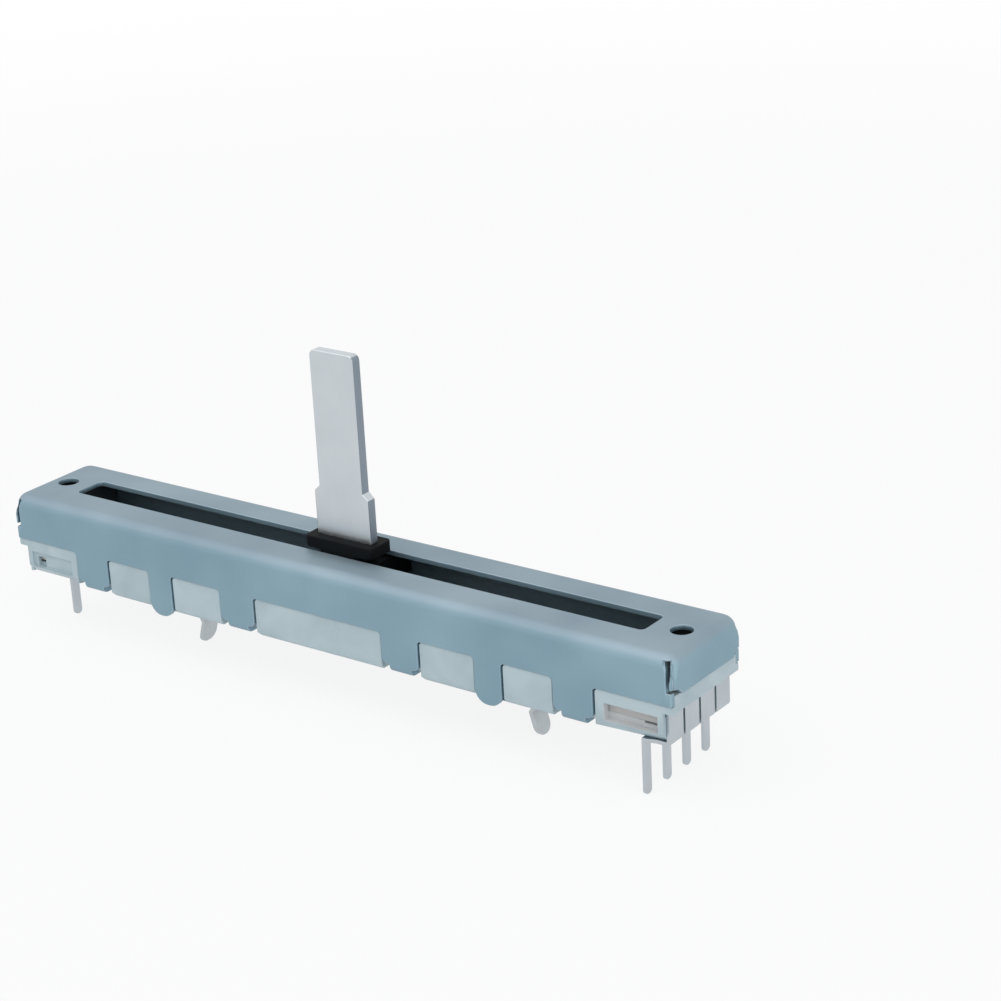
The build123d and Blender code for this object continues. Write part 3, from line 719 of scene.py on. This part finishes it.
def wiperTree():
    # a plate with two stake holes, and on its edge two combs of bent fingers
    tree, sizes = startTree("wiperSpring", wiperSizes)
    halfReach = addNode(tree, "ShaderNodeMath", {"operation": "MULTIPLY"},
                        {0: sizes["fingerReach"], 1: 0.5})
    strip = addNode(tree, "GeometryNodeMeshGrid", None,
                    {"Size X": sizes["fingerReach"], "Size Y": sizes["fingerWidth"],
                     "Vertices X": 19, "Vertices Y": 2})
    place = addNode(tree, "GeometryNodeInputPosition")
    parts = addNode(tree, "ShaderNodeSeparateXYZ", None, {"Vector": place.outputs[0]})
    reach = addNode(tree, "ShaderNodeMath", {"operation": "ADD"},
                    {0: parts.outputs["X"], 1: halfReach.outputs[0]})
    slope = addNode(tree, "ShaderNodeMapRange", {"interpolation_type": "SMOOTHSTEP"},
                    {"Value": reach.outputs[0], "From Min": 0, "From Max": sizes["toePlace"],
                     "To Min": sizes["plateUnder"], "To Max": sizes["toeUnder"]})
    tip = addNode(tree, "ShaderNodeMapRange", {"interpolation_type": "SMOOTHSTEP"},
                  {"Value": reach.outputs[0], "From Min": sizes["toePlace"],
                   "From Max": sizes["fingerReach"], "To Min": 0, "To Max": sizes["tipRise"]})
    level = addNode(tree, "ShaderNodeMath", {"operation": "ADD"},
                    {0: slope.outputs[0], 1: tip.outputs[0]})
    bent = addNode(tree, "ShaderNodeCombineXYZ", None,
                   {"X": reach.outputs[0], "Y": parts.outputs["Y"], "Z": level.outputs[0]})
    sprung = addNode(tree, "GeometryNodeSetPosition", None,
                     {"Geometry": strip.outputs["Mesh"], "Position": bent.outputs[0]})
    finger = thickened(tree, sprung.outputs[0], sizes["thickness"])
    steps = addNode(tree, "ShaderNodeMath", {"operation": "SUBTRACT"}, {0: sizes["fingers"], 1: 1})
    gap = addNode(tree, "ShaderNodeMath", {"operation": "DIVIDE"},
                  {0: sizes["combSpread"], 1: steps.outputs[0]})
    unit = addNode(tree, "GeometryNodeJoinGeometry")
    for side in (-0.5, 0.5):
        track = addNode(tree, "ShaderNodeMath", {"operation": "MULTIPLY"},
                        {0: sizes["trackPitch"], 1: side})
        first = addNode(tree, "ShaderNodeMath", {"operation": "MULTIPLY_ADD"},
                        {0: sizes["combSpread"], 1: -0.5, 2: track.outputs[0]})
        start = addNode(tree, "ShaderNodeCombineXYZ", None, {"Y": first.outputs[0]})
        offset = addNode(tree, "ShaderNodeCombineXYZ", None, {"Y": gap.outputs[0]})
        roots = addNode(tree, "GeometryNodeMeshLine", None,
                        {"Count": sizes["fingers"], "Start Location": start.outputs[0],
                         "Offset": offset.outputs[0]})
        comb = addNode(tree, "GeometryNodeInstanceOnPoints", None,
                       {"Points": roots.outputs[0], "Instance": finger})
        tree.links.new(comb.outputs[0], unit.inputs[0])
    outline = addNode(tree, "GeometryNodeJoinGeometry")
    rim = addNode(tree, "GeometryNodeCurvePrimitiveQuadrilateral", None,
                  {"Width": sizes["plateLength"], "Height": sizes["plateWidth"]})
    tree.links.new(rim.outputs[0], outline.inputs[0])
    for side in (-0.25, 0.25):
        shift = addNode(tree, "ShaderNodeMath", {"operation": "MULTIPLY"},
                        {0: sizes["plateLength"], 1: side})
        middle = addNode(tree, "ShaderNodeCombineXYZ", None, {"X": shift.outputs[0]})
        circle = addNode(tree, "GeometryNodeCurvePrimitiveCircle", None,
                         {"Resolution": 24, "Radius": sizes["holeRadius"]})
        hole = addNode(tree, "GeometryNodeTransform", None,
                       {"Geometry": circle.outputs[0], "Translation": middle.outputs[0]})
        tree.links.new(hole.outputs[0], outline.inputs[0])
    filled = addNode(tree, "GeometryNodeFillCurve", {"mode": "NGONS"},
                     {"Curve": outline.outputs[0]})
    back = addNode(tree, "ShaderNodeMath", {"operation": "MULTIPLY"},
                   {0: sizes["plateLength"], 1: -0.5})
    seat = addNode(tree, "ShaderNodeCombineXYZ", None,
                   {"X": back.outputs[0], "Z": sizes["plateUnder"]})
    placed = addNode(tree, "GeometryNodeTransform", None,
                     {"Geometry": filled.outputs[0], "Translation": seat.outputs[0]})
    tree.links.new(thickened(tree, placed.outputs[0], sizes["thickness"]), unit.inputs[0])
    growOnPoints(tree, sizes, unit.outputs[0])
    return tree


grownPiece("wiperSprings", wiperTree(), wiperSizes, gangMiddles, "spring", "slider",
           "spring_metal", "wiper_a", "wiper_b")


# ---- CAD nodes shown as they are
keptNodes = {
    "element_board": "board",
    "collector_track_a": "silver",
    "collector_track_b": "silver",
    "resistive_track_a": "carbon",
    "resistive_track_b": "carbon",
    "contact_pads": "silver",
    "drag_spring": "spring",
}
for node, finish in keptNodes.items():
    mesh = frame["nodes"][node].data
    mesh.materials.clear()
    mesh.materials.append(finishes[finish])
print("Kept nodes finished:", len(keptNodes))


# ---- floor and light
studio = {
    "floorRadius": 420,        # mm
    "fadeStart": 140,          # mm from the middle, where the floor starts to fade into the white
    "floorWhite": 0.85,        # how much of the floor is plain white; the rest takes the shadow
    "skyLevel": 0.55,          # the world as light, where 1 is white
}
lamps = {                      # W; mm: the size, the place and the point it is aimed at
    "keyLamp": (1.6, 800, (-150, -260, 560), (0, 0, 0)),
    "fillLamp": (0.8, 600, (480, -240, 260), (20, 0, 0)),
}


def studioRays(tree):
    # 1 for what the camera sees, directly, in a gloss or through a clear piece
    rays = addNode(tree, "ShaderNodeLightPath")
    glossy = addNode(tree, "ShaderNodeMath", {"operation": "MAXIMUM"},
                     {0: rays.outputs["Is Camera Ray"], 1: rays.outputs["Is Glossy Ray"]})
    clear = addNode(tree, "ShaderNodeMath", {"operation": "MAXIMUM"},
                    {0: glossy.outputs[0], 1: rays.outputs["Is Transmission Ray"]})
    return clear.outputs[0]


def paleWorld():
    world = bpy.data.worlds.new("paleStudio")
    scene.world = world
    world.use_nodes = True
    tree = world.node_tree
    level = studio["skyLevel"]
    colour = addNode(tree, "ShaderNodeMix", {"data_type": "RGBA"},
                     {0: studioRays(tree), 6: (level, level, level, 1), 7: (1, 1, 1, 1)})
    tree.links.new(colour.outputs[2], tree.nodes["Background"].inputs["Color"])


def paleFloor():
    # a matt pale board under the pins' tips, fading out to the white behind it
    mesh = bpy.data.meshes.new("paleFloor")
    shape = bmesh.new()
    bmesh.ops.create_circle(shape, cap_ends=True, segments=96, radius=studio["floorRadius"] * mm)
    shape.to_mesh(mesh)
    shape.free()
    floor = bpy.data.objects.new("paleFloor", mesh)
    floor.location.z = cadBox[0].z
    scene.collection.objects.link(floor)
    material, tree, shader, place = startMaterial("mattPaleBoard", Roughness=0.9)
    grain = addNode(tree, "ShaderNodeTexNoise", None, {"Vector": place, "Scale": patternScale(1.5)})
    colour = addNode(tree, "ShaderNodeMix", {"data_type": "RGBA"},
                     {0: grain.outputs["Fac"], 6: linearColour("#EEF0F1"),
                      7: linearColour("#F4F5F6")})
    linkShader(tree, shader, Base_Color=colour.outputs[2])
    white = addNode(tree, "ShaderNodeEmission", None, {"Color": (1, 1, 1, 1), "Strength": 1})
    share = addNode(tree, "ShaderNodeMath", {"operation": "MULTIPLY"},
                    {0: studioRays(tree), 1: studio["floorWhite"]})
    surface = addNode(tree, "ShaderNodeMixShader", None,
                      {0: share.outputs[0], 1: shader.outputs[0], 2: white.outputs[0]})
    distance = addNode(tree, "ShaderNodeVectorMath", {"operation": "LENGTH"}, {0: place})
    fade = addNode(tree, "ShaderNodeMapRange", {"interpolation_type": "SMOOTHSTEP"},
                   {"Value": distance.outputs["Value"], "From Min": studio["fadeStart"] * mm,
                    "From Max": studio["floorRadius"] * 0.9 * mm})
    clear = addNode(tree, "ShaderNodeBsdfTransparent")
    faded = addNode(tree, "ShaderNodeMixShader", None,
                    {0: fade.outputs[0], 1: surface.outputs[0], 2: clear.outputs[0]})
    tree.links.new(faded.outputs[0], tree.nodes["Material Output"].inputs["Surface"])
    mesh.materials.append(material)


def softLamp(name, power, size, place, target):
    # a square soft box, aimed at a point of the object
    lampData = bpy.data.lights.new(name, "AREA")
    lampData.energy = power
    lampData.size = size * mm
    lamp = bpy.data.objects.new(name, lampData)
    lamp.location = Vector(place) * mm
    aim = Vector(target) - Vector(place)
    lamp.rotation_euler = aim.to_track_quat("-Z", "Y").to_euler()
    scene.collection.objects.link(lamp)


paleWorld()
paleFloor()
for lamp, values in lamps.items():
    softLamp(lamp, *values)
scene.view_settings.view_transform = "Standard"
print("Studio made")
